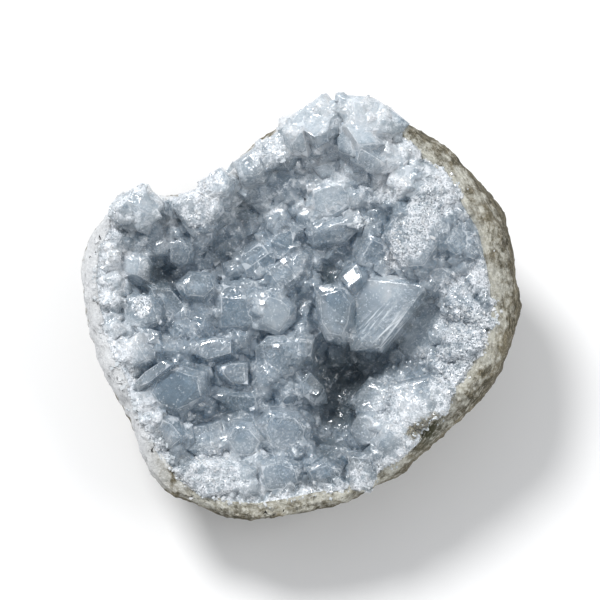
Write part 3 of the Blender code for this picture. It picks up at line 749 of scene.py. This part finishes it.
def mark_edges(piece):
    """Marks each vertex's distance to the nearest outer edge of a crystal, in millimetres."""
    body = bmesh.new()
    body.from_mesh(piece.data)
    lines = [
        (edge.verts[0].co, edge.verts[1].co)
        for edge in body.edges
        if len(edge.link_faces) == 2 and edge.is_convex and edge.calc_face_angle() > CRUST_SHARP
    ]
    middles = kdtree.KDTree(len(lines))
    for i, (first, last) in enumerate(lines):
        middles.insert((first + last) / 2, i)
    middles.balance()
    gaps = []
    for vert in body.verts:
        gap = GAP_MOST
        for _, i, _ in middles.find_n(vert.co, NEAREST_EDGES):
            first, last = lines[i]
            nearest, share = intersect_point_line(vert.co, first, last)
            nearest = first if share < 0 else last if share > 1 else nearest
            gap = min(gap, (vert.co - nearest).length)
        gaps.append(gap / MM)
    body.free()
    mark(piece, "edge_gap", gaps)


def squeezed(tree, place, way, share):
    """A place with its part along a direction cut down, so that a noise at it is drawn out that way."""
    along = vector_maths(tree, "DOT_PRODUCT", place, tuple(way))
    excess = vector_maths(tree, "SCALE", tuple(way), times(tree, along, share))
    return vector_maths(tree, "SUBTRACT", place, excess)


def sheets_in(tree, size, thin, place):
    """Thin sheets, where a noise passes its middle: 1 in the sheet and 0 away from it."""
    noise = noise_at(tree, size, 5.0, 0.6, place)
    gap = maths(tree, "ABSOLUTE", maths(tree, "SUBTRACT", noise, 0.5))
    return between(tree, gap, 0.0, thin, 1.0, 0.0)


def cells_of(tree, width, place):
    """A field of small cells of a width in metres, each with a random colour of its own."""
    return node(tree, "ShaderNodeTexVoronoi", {"Vector": place, "Scale": 1.0 / width}).outputs["Color"]


def red_of(tree, colour):
    """The first number of a colour, as a random one for a cell."""
    return node(tree, "ShaderNodeSeparateXYZ", {0: colour}).outputs["X"]


def see_through(tree, shader):
    """Gives a finish celestite's IOR, and its tint with depth."""
    shader.inputs["IOR"].default_value = CELESTITE_IOR
    links = {"Color": CELESTITE_TINT, "Density": CELESTITE_DENSITY}
    depth = node(tree, "ShaderNodeVolumeAbsorption", links)
    tree.links.new(depth.outputs[0], tree.nodes["Material Output"].inputs["Volume"])


def glassy_celestite():
    """The main crystals: clear grey-blue, with white edges that are partly a painted highlight, veils of
    healed cracks, a glittering coat, milky places that are partly painted light, and painted shade in the
    deep places.
    """
    made, tree, shader = new_finish("clear_celestite")
    place = node(tree, "ShaderNodeTexCoord").outputs["Object"]
    # Each crystal has its own tone, with clouds in it, and is mottled unless it is calm
    clouds = noise_at(tree, 4.0 * MM, 5.0, 0.6, place, 0.9)
    tone = maths(tree, "MULTIPLY_ADD", attribute(tree, "tone"), 0.34, maths(tree, "SUBTRACT", clouds, 0.17))
    mottle = noise_at(tree, 1.1 * MM, 6.0, 0.75, place)
    unrest = maths(tree, "MULTIPLY_ADD", attribute(tree, "calm"), -0.6, 1.0)
    swing = times(tree, maths(tree, "SUBTRACT", mottle, 0.5), 0.78)
    tone = maths(tree, "MULTIPLY_ADD", swing, unrest, tone)
    # Milky places are lighter: partly real milkiness, partly painted light on the upper face and in shaded
    # grooves
    tone = maths(tree, "MULTIPLY_ADD", attribute(tree, "milk_and_painted_light"), 0.36, tone)
    tone = maths(tree, "MULTIPLY_ADD", attribute(tree, "calm"), -0.08, tone)
    light = between(tree, tone, 0.27, 0.71)
    colour = blend_of(tree, light, (0.34, 0.45, 0.54, 1), (0.67, 0.76, 0.83, 1))
    colour = blend_of(tree, between(tree, tone, 0.7, 1.05), colour, (0.88, 0.915, 0.945, 1))
    # Painted shade: where the mesh is marked dark, in the deep hollow and its crevices, the colour turns a
    # dark grey-green
    painted_shade = times(tree, attribute(tree, "dark"), 0.85)
    colour = blend_of(tree, painted_shade, colour, (0.125, 0.17, 0.185, 1))

    # White along the outer edges, in a line that comes and goes: partly where they are bruised, partly a
    # painted highlight where they catch the light
    bruise_and_highlight = noise_at(tree, 2.2 * MM, 4.0, 0.7, place)
    edge_width = between(tree, bruise_and_highlight, 0.42, 0.66, 0.02, 0.32)
    edge_width = maths(tree, "MULTIPLY_ADD", attribute(tree, "streak"), 0.3, edge_width)
    edge_share = maths(tree, "DIVIDE", attribute(tree, "edge_gap"), edge_width)
    whiteness = maths(tree, "MULTIPLY_ADD", attribute(tree, "smooth"), 0.36, 0.2)
    # Edges are less white in the painted shade
    whiteness = times(tree, whiteness, maths(tree, "SUBTRACT", 1.0, attribute(tree, "dark")))
    edge = times(tree, between(tree, edge_share, 0.3, 1.0, 1.0, 0.0), whiteness)

    # Veils of healed cracks in some places, and the long streaks of the wedge
    somewhere = noise_at(tree, 6.0 * MM, 2.0, 0.5, place)
    drawn = squeezed(tree, place, Vector((0.5, 0.3, 0.81)), 0.7)
    veil = sheets_in(tree, 2.6 * MM, 0.05, drawn)
    veil = times(tree, veil, between(tree, somewhere, 0.45, 0.6, 0.0, 0.3))
    drawn = squeezed(tree, place, STREAK_WAY, 0.93)
    streak = between(tree, noise_at(tree, 0.55 * MM, 3.0, 0.7, drawn), 0.47, 0.57)
    bundle = noise_at(tree, 2.4 * MM, 2.0, 0.5, drawn)
    streak = times(tree, streak, between(tree, bundle, 0.42, 0.54, 0.2, 1.0))
    streak = times(tree, streak, attribute(tree, "streak"))
    wisp = noise_at(tree, 0.9 * MM, 5.0, 0.7, place, 1.6)
    wisp = times(tree, between(tree, wisp, 0.5, 0.68, 0.0, 0.5), unrest)
    veil = maths(tree, "MAXIMUM", veil, wisp)
    veil = maths(tree, "MAXIMUM", times(tree, veil, unrest), times(tree, streak, 0.9))

    # The coat, ragged at its border
    ragged = noise_at(tree, 1.2 * MM, 6.0, 0.78, place)
    coat = swayed(tree, attribute(tree, "coat"), ragged, 1.1)
    coat = between(tree, coat, 0.42, 0.62)
    pale = noise_at(tree, 1.9 * MM, 3.0, 0.6, place)
    coat = times(tree, coat, between(tree, pale, 0.37, 0.5, 0.35, 1.0))

    # Small glittering patches wherever the faces aren't broad and smooth. Their white is partly a painted
    # highlight standing for tiny glints, and their turned grains catch real light
    frost_and_painted_glint = noise_at(tree, 2.4 * MM, 4.0, 0.7, place)
    frost_and_painted_glint = maths(tree, "MULTIPLY_ADD", attribute(tree, "milk_and_painted_light"), 0.07, frost_and_painted_glint)
    frost_and_painted_glint = between(tree, frost_and_painted_glint, 0.56, 0.62)
    rough = maths(tree, "MULTIPLY_ADD", attribute(tree, "smooth"), -0.7, 0.9)
    frost_and_painted_glint = times(tree, frost_and_painted_glint, rough)
    frost_and_painted_glint = times(tree, frost_and_painted_glint, unrest)
    coat = maths(tree, "MAXIMUM", coat, times(tree, frost_and_painted_glint, 0.75))

    # The coat's grains and the plates they lie in: each has its own whiteness, and faces its own way
    grains = cells_of(tree, COAT_GRAIN, place)
    plates = cells_of(tree, COAT_PLATE, place)
    least = maths(tree, "MULTIPLY_ADD", attribute(tree, "glitter"), -0.5, 0.55)
    whiteness = between(tree, red_of(tree, grains), 0.12, 0.55, least, 1.0)
    plate_white = between(tree, red_of(tree, plates), 0.1, 0.4, 0.72, 1.0)
    whiteness = times(tree, whiteness, plate_white)

    # White is where an edge, a veil, a speck or the coat is
    specks = noise_at(tree, 0.45 * MM, 2.0, 0.6, place)
    veil = maths(tree, "MAXIMUM", veil, between(tree, specks, 0.6, 0.7, 0.0, 0.6))
    white = maths(tree, "MAXIMUM", edge, veil)
    white = maths(tree, "MAXIMUM", white, times(tree, coat, whiteness))
    colour = blend_of(tree, white, colour, (0.89, 0.92, 0.96, 1))

    # Stained stone where the crust thins out at the rim
    stony = between(tree, swayed(tree, attribute(tree, "stony"), mottle, 1.6), 0.4, 0.75, 0.0, 0.9)
    stone = between(tree, specks, 0.4, 0.56)
    stone = blend_of(tree, stone, (0.05, 0.045, 0.025, 1), (0.27, 0.24, 0.155, 1))
    colour = blend_of(tree, stony, colour, stone)
    tree.links.new(colour, shader.inputs["Base Color"])

    # White, stained and milky places are less clear
    clear = between(tree, maths(tree, "MAXIMUM", white, stony), 0.0, 0.9, CRUST_CLEAR, 0.12)
    murk = maths(tree, "MULTIPLY_ADD", attribute(tree, "milk_and_painted_light"), -0.45, 1.0)
    tree.links.new(times(tree, clear, murk), shader.inputs["Transmission Weight"])
    see_through(tree, shader)
    tree.links.new(between(tree, coat, 0.0, 1.0, 0.05, 0.14), shader.inputs["Roughness"])

    # Outside the coat the faces are finely rippled, milky ones most, and rounded at their edges
    turn = blend_of(tree, 0.45, grains, plates)
    turn = vector_maths(tree, "SUBTRACT", turn, (0.5, 0.5, 0.5))
    rough = maths(tree, "MULTIPLY_ADD", attribute(tree, "smooth"), -0.8, 1.0)
    milk_and_painted_light = times(tree, attribute(tree, "milk_and_painted_light"), rough)
    unruly = maths(tree, "MULTIPLY_ADD", milk_and_painted_light, 0.3, coat)
    turn = vector_maths(tree, "SCALE", turn, between(tree, unruly, 0.0, 1.0, 0.04, 1.25))
    normal = node(tree, "ShaderNodeNewGeometry").outputs["Normal"]
    turned = vector_maths(tree, "ADD", normal, turn)
    faced = node(tree, "ShaderNodeVectorMath", {0: turned}, operation="NORMALIZE").outputs[0]
    ripple = noise_at(tree, 1.4 * MM, 4.0, 0.6, place)
    round_edge = between(tree, attribute(tree, "edge_gap"), 0.0, 0.2, 0.0, 1.0)
    height = maths(tree, "MULTIPLY_ADD", ripple, 0.9, times(tree, round_edge, 0.9))
    bumped(tree, shader, height, 0.35, 0.2 * MM, faced)
    return made


crust = merged_copy("crystal_crust", "crust")
union_of(crust, nested_crystals(crust))
refined(crust)
mark_edges(crust)
mark_patches(crust)
crust.data.materials.append(glassy_celestite())
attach(crust, "root")
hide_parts("crystal_crust")

# The cloudy heart of the crust. Inside their clear outer zones the crystals are full of fine veils and turn
# milky, which is what the light comes back from.
HEART_VOXEL = 0.8 * MM
HEART_DEPTH = 4.4 * MM


def cloudy_heart(source, name):
    """What is left of a piece when its skin is taken off to half of HEART_DEPTH."""
    piece = in_scene(name, source.data.copy())
    tree = new_tree("heart", Voxel=1.0, Depth=1.0, Material=None)
    given = tree.nodes["in"].outputs
    links = {
        "Mesh": given["Geometry"],
        "Voxel Size": given["Voxel"],
        "Interior Band Width": given["Depth"],
    }
    volume = node(tree, "GeometryNodeMeshToVolume", links, resolution_mode="VOXEL_SIZE")
    solid = node(tree, "GeometryNodeVolumeToMesh", {"Volume": volume.outputs[0], "Threshold": 0.5})
    shaded = node(tree, "GeometryNodeSetShadeSmooth", {"Geometry": solid.outputs[0]})
    with_material(tree, shaded.outputs[0])
    made, shading, shader = new_finish("cloudy_celestite")
    place = node(shading, "ShaderNodeTexCoord").outputs["Object"]
    veil = between(shading, noise_at(shading, 2.6 * MM, 6.0, 0.7, place), 0.36, 0.62)
    colour = blend_of(shading, veil, (0.29, 0.36, 0.43, 1), (0.62, 0.69, 0.75, 1))
    shading.links.new(colour, shader.inputs["Base Color"])
    shader.inputs["Roughness"].default_value = 0.6
    return grow(piece, tree, Voxel=HEART_VOXEL, Depth=HEART_DEPTH, Material=made)


heart = cloudy_heart(crust, "cloudy_heart")
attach(heart, "root")

# The sugar. White grains under a millimetre lie thick along the broken rim, over the joint of crust and rind,
# and in patches on the crystals. They are tiny celestite crystals, grown fast to what they lie on.
SUGAR_SEED = 9
SUGAR_SPACING = 0.45 * MM
SUGAR_CROWDING = 1.6
SUGAR_SIZES = (0.28 * MM, 0.68 * MM)
RIM_SUGAR_SIZES = (0.3 * MM, 0.75 * MM)
RIM_SUGAR_REACH = 6.0 * MM
# The grains' shapes: how far the end narrows either way, and how high it is. They are sunk into their bed
GRAIN_SHAPES = ((0.45, 0.5, 0.3), (0.12, 0.7, 0.45), (0.2, 0.2, 0.55))
GRAIN_BLOCK = (1.0, 1.0, 1.2)
GRAIN_SUNK = 0.4
# The rim is drawn up to the crystals from less than JOINT_WIDTH away, down to JOINT_DEPTH millimetres below
# its top. Faces that fold over in this are smoothed.
JOINT_DEPTH = 5.0
JOINT_WIDTH = 3.0 * MM
JOINT_OVERLAP = 0.5 * MM
FOLDED = 0.3
UNFOLD_ROUNDS = 6


def sugar_stone():
    """White celestite that is a little clear, finely rippled in its gloss."""
    made, tree, shader = new_finish("sugar_celestite")
    place = node(tree, "ShaderNodeTexCoord").outputs["Object"]
    clouds = between(tree, noise_at(tree, 4.2 * MM, 4.0, 0.6, place), 0.42, 0.66)
    colour = blend_of(tree, clouds, (0.80, 0.86, 0.90, 1), (0.96, 0.97, 0.98, 1))
    tree.links.new(colour, shader.inputs["Base Color"])
    shader.inputs["Roughness"].default_value = 0.1
    shader.inputs["Transmission Weight"].default_value = 0.3
    see_through(tree, shader)
    bumped(tree, shader, noise_at(tree, 1.1 * MM, 5.0, 0.65, place), 0.18, 0.3 * MM)
    return made


def grain_shape(tree, taper_u, taper_v, cap):
    """A block a unit wide whose end narrows to a face taper_u by taper_v, as a mesh in a tree."""
    block = node(tree, "GeometryNodeMeshCube", {"Size": GRAIN_BLOCK})
    normal = node(tree, "GeometryNodeInputNormal").outputs[0]
    upward = node(tree, "ShaderNodeSeparateXYZ", {0: normal}).outputs["Z"]
    is_top = node(tree, "FunctionNodeCompare", {"A": upward, "B": 0.9}, operation="GREATER_THAN")
    links = {
        "Mesh": block.outputs["Mesh"],
        "Selection": is_top.outputs[0],
        "Offset Scale": cap,
        "Individual": False,
    }
    drawn = node(tree, "GeometryNodeExtrudeMesh", links, mode="FACES")
    place = node(tree, "GeometryNodeInputPosition").outputs[0]
    links = {
        "Geometry": drawn.outputs["Mesh"],
        "Selection": drawn.outputs["Top"],
        "Position": vector_maths(tree, "MULTIPLY", place, (taper_u, taper_v, 1.0)),
    }
    tapered = node(tree, "GeometryNodeSetPosition", links)
    links = {"Geometry": tapered.outputs[0], "Offset": (0, 0, -GRAIN_SUNK)}
    return node(tree, "GeometryNodeSetPosition", links).outputs[0]


def coating():
    """Sets grains on the open side of a piece, closest where its coat is thickest."""
    tree = new_tree(
        "coating",
        Spacing=1.0,
        Smallest=1.0,
        Largest=1.0,
        Coated=1.0,
        Sharpness=1.0,
        Tilt=0.5,
        Seed=1,
        Material=None,
    )
    given = tree.nodes["in"].outputs

    def carried(title):
        return node(tree, "GeometryNodeInputNamedAttribute", {"Name": title}, data_type="FLOAT").outputs[0]

    def random_between(low, high, salt):
        seed = maths(tree, "ADD", given["Seed"], float(salt))
        links = {2: low, 3: high, "Seed": seed}
        return node(tree, "FunctionNodeRandomValue", links, data_type="FLOAT").outputs[1]

    thick = maths(tree, "POWER", carried("coat"), given["Sharpness"])
    density = times(tree, thick, given["Coated"])
    density = times(tree, density, carried("open"))
    area = times(tree, given["Spacing"], given["Spacing"])
    links = {
        "Mesh": given["Geometry"],
        "Distance Min": given["Spacing"],
        "Density Max": maths(tree, "DIVIDE", SUGAR_CROWDING, area),
        "Density Factor": density,
        "Seed": given["Seed"],
    }
    spread = node(tree, "GeometryNodeDistributePointsOnFaces", links, distribute_method="POISSON")
    shapes = node(tree, "GeometryNodeGeometryToInstance")
    for shape in GRAIN_SHAPES:
        tree.links.new(grain_shape(tree, *shape), shapes.inputs[0])
    links = {0: (-1.0, -1.0, -1.0), 1: (1.0, 1.0, 1.0), "Seed": given["Seed"]}
    lean = node(tree, "FunctionNodeRandomValue", links, data_type="FLOAT_VECTOR").outputs[0]
    lean = vector_maths(tree, "SCALE", lean, given["Tilt"])
    way = vector_maths(tree, "ADD", spread.outputs["Normal"], lean)
    stood = node(tree, "FunctionNodeAlignRotationToVector", {"Vector": way}, axis="Z")
    spin = node(tree, "ShaderNodeCombineXYZ", {"Z": random_between(0.0, 2 * math.pi, 3)}).outputs[0]
    links = {"Rotation": stood.outputs[0], "Rotate By": spin}
    turned = node(tree, "FunctionNodeRotateRotation", links, rotation_space="LOCAL")
    even = random_between(0.0, 1.0, 4)
    share = times(tree, even, even)
    span = maths(tree, "SUBTRACT", given["Largest"], given["Smallest"])
    wide = maths(tree, "MULTIPLY_ADD", share, span, given["Smallest"])
    links = {
        "X": wide,
        "Y": times(tree, wide, random_between(0.6, 1.1, 5)),
        "Z": times(tree, wide, random_between(0.7, 1.3, 6)),
    }
    size = node(tree, "ShaderNodeCombineXYZ", links).outputs[0]
    links = {
        "Points": spread.outputs["Points"],
        "Instance": shapes.outputs[0],
        "Pick Instance": True,
        "Rotation": turned.outputs[0],
        "Scale": size,
    }
    set_out = node(tree, "GeometryNodeInstanceOnPoints", links)
    real = node(tree, "GeometryNodeRealizeInstances", {"Geometry": set_out.outputs[0]})
    return with_material(tree, real.outputs[0])


def sugared(name, source, sizes, thickness, sharpness):
    """A new piece of sugar on a piece, with grains from the first to the second of the sizes.

    thickness is how full the sugar is in a whole coat, and sharpness how fast it thins out from there.
    """
    piece = in_scene(name, source.data.copy())
    grow(
        piece,
        coat_tree,
        Spacing=SUGAR_SPACING,
        Smallest=sizes[0],
        Largest=sizes[1],
        Coated=thickness,
        Sharpness=sharpness,
        Tilt=1.0,
        Seed=SUGAR_SEED,
        Material=sugar_finish,
    )
    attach(piece, "root")


def grown_fast(piece, neighbour):
    """Draws a piece's rim up against its neighbour, and marks how near to it each part of the rim is."""
    body = bmesh.new()
    body.from_mesh(neighbour.data)
    surface = bvhtree.BVHTree.FromBMesh(body)
    body.free()
    u, v, w = face_places(piece)
    sector = sectors(u, v)
    top = np.array([w[sector == i].max() for i in range(RIM_SECTORS)])[sector]
    coat = []
    moves = []
    for vert, below in zip(piece.data.vertices, top - w):
        near, normal, _, gap = surface.find_nearest(vert.co, RIM_SUGAR_REACH)
        if near is None or below > JOINT_DEPTH:
            coat.append(0.0)
            continue
        coat.append(1.0 - gap / RIM_SUGAR_REACH)
        if 0 < gap < JOINT_WIDTH and (vert.co - near).dot(normal) > 0:
            # What faces the crystals moves most, and all the way from half of JOINT_WIDTH or nearer
            way = (near - vert.co) / gap
            facing = min(max(way.dot(vert.normal) + 0.4, 0.0) * 1.6, 1.0)
            most = min(2.0 * (1.0 - gap / JOINT_WIDTH), 1.0)
            moves.append((vert.index, way * (gap + JOINT_OVERLAP) * most * facing))
    body = bmesh.new()
    body.from_mesh(piece.data)
    body.normal_update()
    before = [face.normal.copy() for face in body.faces]
    body.verts.ensure_lookup_table()
    for i, move in moves:
        body.verts[i].co += move
    body.normal_update()
    for face, normal in zip(body.faces, before):
        if face.normal.dot(normal) < FOLDED:
            for vert in face.verts:
                vert.tag = True
    folded = [vert for vert in body.verts if vert.tag]
    every_way = {"use_axis_x": True, "use_axis_y": True, "use_axis_z": True}
    for _ in range(UNFOLD_ROUNDS):
        bmesh.ops.smooth_vert(body, verts=folded, factor=0.5, **every_way)
    body.to_mesh(piece.data)
    body.free()
    mark(piece, "coat", coat)
    mark(piece, "open", [1.0] * len(coat))


coat_tree = coating()
sugar_finish = sugar_stone()
sugared("sugar", crust, SUGAR_SIZES, 0.6, 3.0)
grown_fast(rind, crust)
sugared("rim_sugar", rind, RIM_SUGAR_SIZES, 1.0, 16.0)

# The studio: a plain pale floor, an even pale room, a soft key light from above left and a weaker fill
FLOOR_REACH = 2.0
floor_mesh = bpy.data.meshes.new("floor")
floor_corners = [(x * FLOOR_REACH, y * FLOOR_REACH, 0) for x, y in ((-1, -1), (1, -1), (1, 1), (-1, 1))]
floor_mesh.from_pydata(floor_corners, [], [(0, 1, 2, 3)])
floor = in_scene("floor", floor_mesh)
paper, _, paper_shader = new_finish("white_paper")
paper_shader.inputs["Base Color"].default_value = (0.92, 0.92, 0.92, 1)
paper_shader.inputs["Roughness"].default_value = 0.9
floor_mesh.materials.append(paper)

room = bpy.data.worlds.new("studio")
room.use_nodes = True
room_shade = room.node_tree.nodes["Background"]
room_shade.inputs["Color"].default_value = (0.95, 0.97, 1.0, 1)
room_shade.inputs["Strength"].default_value = 0.5
bpy.context.scene.world = room


def soft_light(name, place, size, power):
    """A round light that looks at the middle of the open face."""
    light = bpy.data.lights.new(name, "AREA")
    light.shape = "DISK"
    light.size = size
    light.energy = power
    made = in_scene(name, light)
    made.location = place
    made.rotation_euler = (FACE_MIDDLE - Vector(place)).to_track_quat("-Z", "Y").to_euler()


soft_light("key_light", (-0.35, 0.40, 0.80), 0.30, 7.0)
soft_light("fill_light", (0.60, -0.10, 0.70), 0.50, 2.0)

# The camera looks straight into the open face, as the photograph was taken
CAMERA_DISTANCE = 450.0
PICTURE_WIDTH = 120.0
PICTURE_MIDDLE = (0.0, 1.6)
lens = bpy.data.cameras.new("camera")
lens.sensor_width = 36.0
lens.lens = lens.sensor_width * CAMERA_DISTANCE / PICTURE_WIDTH
lens.clip_start = 0.01
camera = in_scene("camera", lens)
camera.location = FACE @ Vector((*PICTURE_MIDDLE, CAMERA_DISTANCE))
camera.rotation_euler = (FACE_LEAN, 0, 0)
bpy.context.scene.camera = camera
bpy.context.scene.view_settings.view_transform = "Standard"
